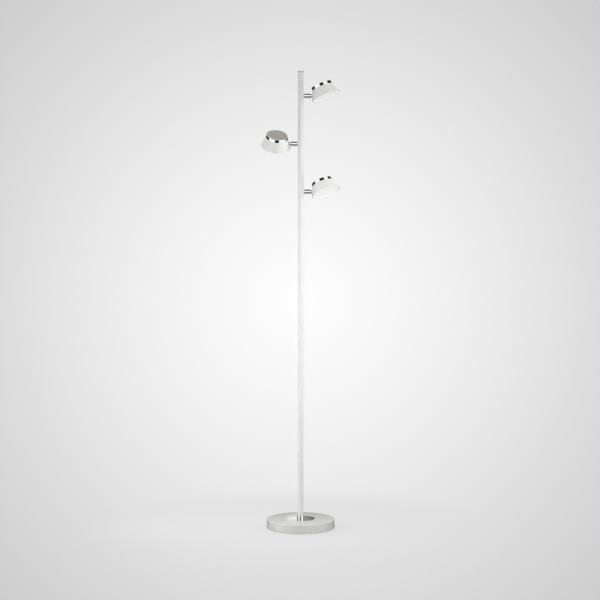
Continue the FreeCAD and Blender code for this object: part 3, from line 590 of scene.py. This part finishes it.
# Heads: conical shade, with a sunk hole in its wall where the arm goes in
shade = dict(rim=52.0, angle=22.0, height=33.8, wall=1.8, flange=7.0, seam=0.25, rimEdge=0.45, lipEdge=0.2,
             rings=8, sharp=30, steps=144)
entry = dict(radius=8.3, widen=1.35, sinkFrom=0.35, sinkTo=1.0, inside=3.0, outside=16.0, steps=72)
slope = math.tan(math.radians(shade["angle"]))
across = shade["wall"] / math.cos(math.radians(shade["angle"]))   # the slanted wall's level thickness
coneTop = shade["rim"] - shade["height"] * slope   # radius where the cone ends


def makeShade(which):
    rim = shade["rim"]
    high = shade["height"]
    under = high - shade["wall"]
    corners = [(rim - across, 0, shade["lipEdge"]), (rim, 0, shade["rimEdge"])]
    for ring in range(1, shade["rings"]):
        up = high * ring / shade["rings"]
        corners.append((rim - up * slope, up))
    corners += [
        (coneTop, high, shade["seam"]),
        (coneTop - shade["flange"], high),
        (coneTop - shade["flange"], under),
        (rim - under * slope - across, under),
    ]
    bm = turnOutline(corners, shade["steps"])
    wide = entry["radius"] + entry["widen"]
    tool = turnOutline([
        (0, -entry["inside"]),
        (entry["radius"], -entry["inside"]),
        (entry["radius"], pivot["depth"] - entry["sinkFrom"]),
        (wide, pivot["depth"] + entry["sinkTo"]),
        (wide, entry["outside"]),
        (0, entry["outside"]),
    ], entry["steps"])
    outward = Matrix.Rotation(math.radians(-90 + shade["angle"]), 4, "Y")
    bm = cutHole(bm, tool, Matrix.Translation((-pivot["inward"], 0, pivot["up"])) @ outward)
    finishPiece(which + "Shade", bm, headPlace(which), "shade_paint", which + "_head",
                [which + "_shade"], sharp=shade["sharp"])


# Bright band on top of the shade
band = dict(height=10.6, wall=1.6, taper=1.1, edge=0.8, lip=1.4, lipEdge=0.15, steps=144)
headTop = shade["height"] + band["height"]
bandTop = coneTop - band["taper"]   # outer radius at the top

# Satin disc sunk into the band, a little lower inside its margin
disc = dict(thickness=1.2, sink=0.3, fit=0.1, edge=0.3, margin=1.5, fall=0.3, hollow=0.15, steps=144)


def makeBand(which):
    seat = headTop - disc["sink"] - disc["thickness"]
    mouth = bandTop - band["lip"]
    ledge = bandTop - band["wall"] - 2 * band["lip"]
    bm = turnOutline([
        (coneTop - band["wall"], shade["height"]),
        (coneTop, shade["height"], shade["seam"]),
        (bandTop, headTop, band["edge"]),
        (mouth, headTop, band["lipEdge"]),
        (mouth, seat),
        (ledge, seat),
        (ledge, seat - band["wall"]),
        (bandTop - band["wall"], seat - band["wall"]),
    ], band["steps"])
    finishPiece(which + "Band", bm, headPlace(which), "bright_chrome", which + "_head",
                [which + "_cap_ring"])


def makeTopDisc(which):
    radius = bandTop - band["lip"] - disc["fit"]
    inner = radius - disc["margin"]
    top = headTop - disc["sink"]
    low = top - disc["thickness"]
    bm = turnOutline([
        (0, low),
        (radius, low),
        (radius, top, disc["edge"]),
        (inner, top),
        (inner - disc["fall"], top - disc["hollow"]),
        (0, top - disc["hollow"]),
    ], disc["steps"])
    finishPiece(which + "TopDisc", bm, headPlace(which), "satin_top", which + "_head",
                [which + "_cap_disc"], satinTops[which])


# Diffuser with a shallow moulded ring near its edge, and the thin rim below that holds it
diffuser = dict(thickness=2.2, fit=0.1, edge=0.3, ringIn=6.0, ringOut=4.2, ringSide=0.4, ringDepth=0.25,
                steps=128)
bezel = dict(height=1.2, width=3.4, fit=0.1, innerEdge=0.3, outerEdge=0.2, steps=128)


def makeDiffuser(which):
    low = bezel["height"]
    top = low + diffuser["thickness"]
    lowRadius = shade["rim"] - low * slope - across - diffuser["fit"]
    highRadius = shade["rim"] - top * slope - across - diffuser["fit"]
    ringIn = lowRadius - diffuser["ringIn"]
    ringOut = lowRadius - diffuser["ringOut"]
    side = diffuser["ringSide"]
    step = low + diffuser["ringDepth"]
    bm = turnOutline([
        (0, low), (ringIn, low), (ringIn + side, step), (ringOut - side, step), (ringOut, low),
        (lowRadius, low), (highRadius, top, diffuser["edge"]), (0, top),
    ], diffuser["steps"])
    finishPiece(which + "Diffuser", bm, headPlace(which), "opal", which + "_head", [which + "_diffuser"])


def makeBezel(which):
    low = shade["rim"] - across - bezel["fit"]
    high = low - bezel["height"] * slope
    inner = low - bezel["width"]
    bm = turnOutline([
        (inner, 0, bezel["innerEdge"]),
        (low, 0, bezel["outerEdge"]),
        (high, bezel["height"]),
        (inner, bezel["height"]),
    ], bezel["steps"])
    finishPiece(which + "Bezel", bm, headPlace(which), "bezel_plastic", which + "_head",
                [which + "_bezel_ring"])


for which in arms:
    makeSleeve(which)
    makeShade(which)
    makeBand(which)
    makeTopDisc(which)
    makeDiffuser(which)
    makeBezel(which)
print("arms and heads ready")

# Every node of the frame takes the finish of its slot
for row in frame["record"]["subparts"]:
    node = frame["nodes"][row["node"]]
    for slot in node.material_slots:
        slot.material = slotFinish[row["material_slot"]]


def makeSheet(name, bm, look):
    # a sheet of the stage, with a material that has no nodes yet
    mesh = bpy.data.meshes.new(name)
    bm.to_mesh(mesh)
    bm.free()
    sheet = bpy.data.objects.new(name, mesh)
    scene.collection.objects.link(sheet)
    material = bpy.data.materials.new(look)
    material.use_nodes = True
    material.node_tree.nodes.clear()
    mesh.materials.append(material)
    return sheet, material.node_tree


# Floor: a pale sheet that catches the shadow. It fades into the backdrop for the camera, and gloss rays pass
# through it
floor = dict(radius=6.0, level=0.38, glow=0.10, lift=0.335, clear=0.28, gone=0.85, segments=96)


def makeFloor():
    bm = bmesh.new()
    bmesh.ops.create_circle(bm, cap_ends=True, segments=floor["segments"], radius=floor["radius"])
    tree = makeSheet("floor", bm, "floor_sheet")[1]
    spot = addNode(tree, "TexCoord").outputs["Object"]
    away = addNode(tree, "VectorMath", {0: spot}, operation="LENGTH").outputs["Value"]
    path = addNode(tree, "LightPath").outputs
    fade = calc(tree, "MULTIPLY", ramp(tree, away, floor["clear"], floor["gone"]), path["Is Camera Ray"])
    fade = calc(tree, "MAXIMUM", fade, path["Is Glossy Ray"])
    matte = addNode(tree, "BsdfDiffuse", {"Color": (floor["level"],) * 3 + (1,)})
    lift = calc(tree, "MULTIPLY", path["Is Camera Ray"], floor["lift"])
    strength = calc(tree, "ADD", lift, floor["glow"])
    glow = addNode(tree, "Emission", {"Color": (1, 1, 1, 1), "Strength": strength})
    look = addNode(tree, "AddShader", {0: matte.outputs[0], 1: glow.outputs[0]})
    clear = addNode(tree, "BsdfTransparent")
    mix = addNode(tree, "MixShader", {0: fade, 1: look.outputs[0], 2: clear.outputs[0]})
    addNode(tree, "OutputMaterial", {"Surface": mix.outputs[0]})


# Backdrop for the camera alone: a painted pool of light, its level set by the degrees from the middle of the
# wall behind the lamp
backdrop = [(0.0, 0.995), (5.2, 0.915), (10.3, 0.823), (15.2, 0.723), (20.8, 0.617), (26.0, 0.60),
            (60.0, 0.84)]

# Even light for all but camera and gloss rays: at the horizon and below, overhead, and the wall's share
fill = dict(level=0.67, above=0.76, wallShare=0.4)

# Studio for gloss rays alone: two wide soft boxes with a dark gap and a slim strip light between them, dark
# flags at the sides and a wall behind. Rise is in degrees up, turn in degrees round from the camera's side
studio = dict(
    white=1.05, dark=0.012,
    gapHalf=[(48.0, 0.335), (60.0, 0.05)],   # half the gap's width by rise, as the X of the ray
    gapMiddle=[(-25.0, 0.03), (25.0, -0.215), (44.0, -0.215), (58.0, 0.0)],   # its middle, the same way
    gapEdge=(0.92, 1.08),   # shares of the half width
    gapFront=(88.0, 92.0), gapSteep=(47.0, 53.0),   # in front up to this turn, all round past this rise
    stripHalf=3.4, stripSoft=0.4, stripExtra=0.45,
    bars=[(-28.0, -12.8), (-9.8, 9.4), (13.2, 19.0), (28.0, 40.0)], barSoft=0.7,   # lit parts, by rise
    flagNear=[(-18.0, 118.0), (-11.0, 92.0), (10.0, 92.0), (26.0, 58.0), (38.0, 58.0), (50.0, 80.0)],
    flagFar=[(11.5, 176.0), (20.0, 136.0)], flagSoft=3.0,   # turns where the flags start and end, by rise
    lowFlag=(13.0, 17.0),   # on both sides, up to this rise
    highFlag=(24.0, 58.0), rightSide=(-2.0, 2.0),   # between these rises, on the right alone
    wallTurn=(173.0, 179.0), wallTop=(20.0, 30.0), wallLevel=0.35)   # past this turn, up to this rise


def makeBackdrop(tree, way):
    apart = calc(tree, "DEGREES", calc(tree, "ARCCOSINE", way["Y"]))
    return profile(tree, apart, backdrop)


def makeGap(tree, way, rise, aside):
    half = profile(tree, rise, studio["gapHalf"], smooth=True)
    middle = profile(tree, rise, studio["gapMiddle"], smooth=True)
    past = calc(tree, "DIVIDE", calc(tree, "ABSOLUTE", calc(tree, "SUBTRACT", way["X"], middle)), half)
    front = ramp(tree, aside, *studio["gapFront"], 1.0, 0.0)
    steep = ramp(tree, calc(tree, "ABSOLUTE", rise), *studio["gapSteep"])
    return calc(tree, "MULTIPLY", ramp(tree, past, *studio["gapEdge"], 1.0, 0.0),
                calc(tree, "MAXIMUM", front, steep))


def makeStrip(tree, rise, aside):
    lit = 0.0
    for low, high in studio["bars"]:
        lit = calc(tree, "ADD", window(tree, rise, low, high, studio["barSoft"]), lit)
    half = studio["stripHalf"]
    soft = studio["stripSoft"]
    return calc(tree, "MULTIPLY", lit, ramp(tree, aside, half - soft, half + soft, 1.0, 0.0))


def makeFlags(tree, rise, turn, aside):
    soft = studio["flagSoft"]
    pastNear = calc(tree, "SUBTRACT", aside, profile(tree, rise, studio["flagNear"], smooth=True))
    pastFar = calc(tree, "SUBTRACT", aside, profile(tree, rise, studio["flagFar"], smooth=True))
    sides = calc(tree, "MULTIPLY", ramp(tree, pastNear, -soft, soft),
                 ramp(tree, pastFar, -soft, soft, 1.0, 0.0))
    high = calc(tree, "MULTIPLY", window(tree, rise, *studio["highFlag"], soft),
                ramp(tree, turn, *studio["rightSide"]))
    low = ramp(tree, rise, *studio["lowFlag"], 1.0, 0.0)
    return calc(tree, "MULTIPLY", sides, calc(tree, "MAXIMUM", low, high))


def makeWorld():
    world = bpy.data.worlds.new("studio")
    world.use_nodes = True
    scene.world = world
    tree = world.node_tree
    tree.nodes.clear()
    way = addNode(tree, "SeparateXYZ", {0: addNode(tree, "TexCoord").outputs["Generated"]}).outputs
    front = calc(tree, "MULTIPLY", way["Y"], -1.0)
    turn = calc(tree, "DEGREES", calc(tree, "ARCTAN2", way["X"], front))
    aside = calc(tree, "ABSOLUTE", turn)
    rise = calc(tree, "DEGREES", calc(tree, "ARCSINE", way["Z"]))
    strip = makeStrip(tree, rise, aside)
    dark = calc(tree, "MAXIMUM", makeFlags(tree, rise, turn, aside), makeGap(tree, way, rise, aside))
    shine = calc(tree, "MAXIMUM", calc(tree, "SUBTRACT", 1.0, dark), strip)
    wall = calc(tree, "MULTIPLY", ramp(tree, aside, *studio["wallTurn"]),
                ramp(tree, rise, *studio["wallTop"], 1.0, 0.0))
    shine = blend(tree, wall, shine, studio["wallLevel"])
    shine = ramp(tree, shine, 0.0, 1.0, studio["dark"], studio["white"], smooth=False)
    shine = calc(tree, "ADD", shine, calc(tree, "MULTIPLY", strip, studio["stripExtra"]))
    light = ramp(tree, way["Z"], 0.0, 1.0, fill["level"], fill["above"], smooth=False)
    light = calc(tree, "MULTIPLY", light, ramp(tree, wall, 0.0, 1.0, 1.0, fill["wallShare"]))
    gloss = addNode(tree, "Background", {"Color": shine, "Strength": 1.0})
    soft = addNode(tree, "Background", {"Color": light, "Strength": 1.0})
    seen = addNode(tree, "Background", {"Color": makeBackdrop(tree, way), "Strength": 1.0})
    path = addNode(tree, "LightPath").outputs
    both = addNode(tree, "MixShader", {0: path["Is Glossy Ray"], 1: soft.outputs[0], 2: gloss.outputs[0]})
    final = addNode(tree, "MixShader", {0: path["Is Camera Ray"], 1: both.outputs[0], 2: seen.outputs[0]})
    addNode(tree, "OutputWorld", {"Surface": final.outputs[0]})


# Card: close behind the base and seen in gloss alone, it puts painted shade on the painted top towards the
# back and, in an oval, holds a painted reflection: the white and grey that the two halves of the inlay show.
# The shades go by height, the grey by how far right it is
card = dict(
    behind=0.30, halfWidth=0.19, height=0.24, soft=0.045,
    shades=[(0.066, 0.03), (0.09, 0.38), (0.108, 0.46), (0.118, 0.80)],
    ovalHalfWidth=0.0534, ovalMiddle=0.0904, ovalHalfHeight=0.0106, ovalEdge=(1.0, 1.2),
    white=1.0, grey=[(0.014, 0.34), (0.053, 0.03)], halves=(-0.002, 0.002))


def makeCard():
    halfHeight = card["height"] / 2
    bm = bmesh.new()
    bmesh.ops.create_grid(bm, x_segments=1, y_segments=1, size=1.0)
    bmesh.ops.scale(bm, vec=(card["halfWidth"], halfHeight, 1), verts=bm.verts)
    standing = Matrix.Translation((0, card["behind"], halfHeight)) @ Matrix.Rotation(math.radians(90), 4, "X")
    bmesh.ops.transform(bm, matrix=standing, verts=bm.verts)
    sheet, tree = makeSheet("card", bm, "card_shades")
    for ray in ("camera", "diffuse", "transmission", "volume_scatter", "shadow"):
        setattr(sheet, "visible_" + ray, False)
    spot = addNode(tree, "SeparateXYZ", {0: addNode(tree, "TexCoord").outputs["Object"]}).outputs
    shaded = profile(tree, spot["Z"], card["shades"])
    sideways = calc(tree, "DIVIDE", spot["X"], card["ovalHalfWidth"])
    upwards = calc(tree, "SUBTRACT", spot["Z"], card["ovalMiddle"])
    upwards = calc(tree, "DIVIDE", upwards, card["ovalHalfHeight"])
    out = addNode(tree, "CombineXYZ", {"X": sideways, "Y": upwards}).outputs[0]
    out = addNode(tree, "VectorMath", {0: out}, operation="LENGTH").outputs["Value"]
    grey = profile(tree, spot["X"], card["grey"])
    halves = blend(tree, ramp(tree, spot["X"], *card["halves"]), card["white"], grey)
    level = blend(tree, ramp(tree, out, *card["ovalEdge"]), halves, shaded)
    glow = addNode(tree, "Emission", {"Color": level, "Strength": 1.0})
    side = calc(tree, "ABSOLUTE", spot["X"])
    gone = calc(tree, "MAXIMUM", ramp(tree, side, card["halfWidth"] - card["soft"], card["halfWidth"]),
                ramp(tree, spot["Z"], card["height"] - card["soft"], card["height"]))
    clear = addNode(tree, "BsdfTransparent")
    mix = addNode(tree, "MixShader", {0: gone, 1: glow.outputs[0], 2: clear.outputs[0]})
    addNode(tree, "OutputMaterial", {"Surface": mix.outputs[0]})


# Tall soft lamps in a ring at the lamp's middle height, the right ones higher than the left ones
ring = dict(distance=0.9, height=0.76, tilt=0.22, size=(0.4, 1.2), spread=100.0)
ringLamps = {"frontRight": (30, 1.27), "right": (90, 1.5), "backRight": (150, 0.3), "backLeft": (210, 0.3),
             "left": (270, 1.45), "frontLeft": (330, 0.7)}   # degrees round from the front, and watts


def makeLamps():
    for name, (turned, power) in ringLamps.items():
        angle = math.radians(turned)
        data = bpy.data.lights.new(name, "AREA")
        data.shape = "RECTANGLE"
        data.size, data.size_y = ring["size"]
        data.spread = math.radians(ring["spread"])
        data.energy = power
        lamp = bpy.data.objects.new(name, data)
        side = math.sin(angle)
        lamp.location = (ring["distance"] * side, -ring["distance"] * math.cos(angle),
                         ring["height"] + ring["tilt"] * side)
        toAxis = Vector((-lamp.location.x, -lamp.location.y, 0))
        lamp.rotation_euler = toAxis.to_track_quat("-Z", "Y").to_euler()
        lamp.visible_camera = False
        lamp.visible_glossy = False   # bright metal shows the studio and the card instead
        scene.collection.objects.link(lamp)


makeFloor()
makeWorld()
makeCard()
makeLamps()

# Camera: level, at the lamp's middle height
view = dict(place=(-0.00245, -3.87, 0.797), lens=66.2, sensor=36.0)
cameraData = bpy.data.cameras.new("camera")
cameraData.lens = view["lens"]
cameraData.sensor_width = view["sensor"]
camera = bpy.data.objects.new("camera", cameraData)
camera.location = view["place"]
camera.rotation_euler = (math.radians(90), 0, 0)
scene.collection.objects.link(camera)
scene.camera = camera
scene.view_settings.view_transform = "Standard"

print("stage ready")
